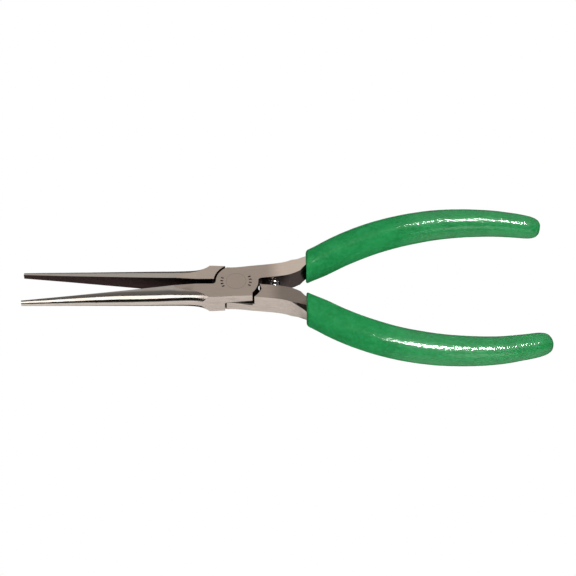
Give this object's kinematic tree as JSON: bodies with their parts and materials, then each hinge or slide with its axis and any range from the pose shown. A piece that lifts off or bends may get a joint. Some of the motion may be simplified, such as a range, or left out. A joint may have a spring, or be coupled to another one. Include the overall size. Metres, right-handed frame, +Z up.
{
  "type": "needle nose pliers",
  "caption": "Slim long nose pliers with a flush riveted lap joint, smooth half round jaws, a coil return spring between the handles and bowed green cushion grips.",
  "frame": {"origin": "on the pivot axis, where it meets the joint's underside", "axes": "+Z up along the pivot axis through the joint's thickness, +X towards the handle ends, -X towards the jaw tips, +Y towards the upper handle; rest pose is the jaws standing slightly open"},
  "size_m": [0.1653, 0.0619, 0.0096],
  "materials": {
    "tool_steel": "fine ground satin, jaws polished",
    "rivet_steel": "ground flush with the joint",
    "spring_wire": "bright drawn wire",
    "foamed_vinyl": "matt closed cell",
    "grip_vinyl": "gloss with a fine orange peel"
  },
  "bodies": {
    "lower_jaw_body": {"lower_jaw_half": "tool_steel", "pivot_rivet": "rivet_steel", "return_spring": "spring_wire", "grip_cushion_upper": "foamed_vinyl", "grip_skin_upper": "grip_vinyl"},
    "upper_jaw_body": {"upper_jaw_half": "tool_steel", "grip_cushion_lower": "foamed_vinyl", "grip_skin_lower": "grip_vinyl"}
  },
  "joints": [
    {"name": "jaw_pivot", "type": "hinge", "parent": "lower_jaw_body", "child": "upper_jaw_body", "pos_m": [0, 0, 0], "axis": [0, 0, 1], "range_deg": [-12, 8.85], "stiffness_Nm_per_rad": 0.1, "deforming": ["return_spring"]}
  ]
}
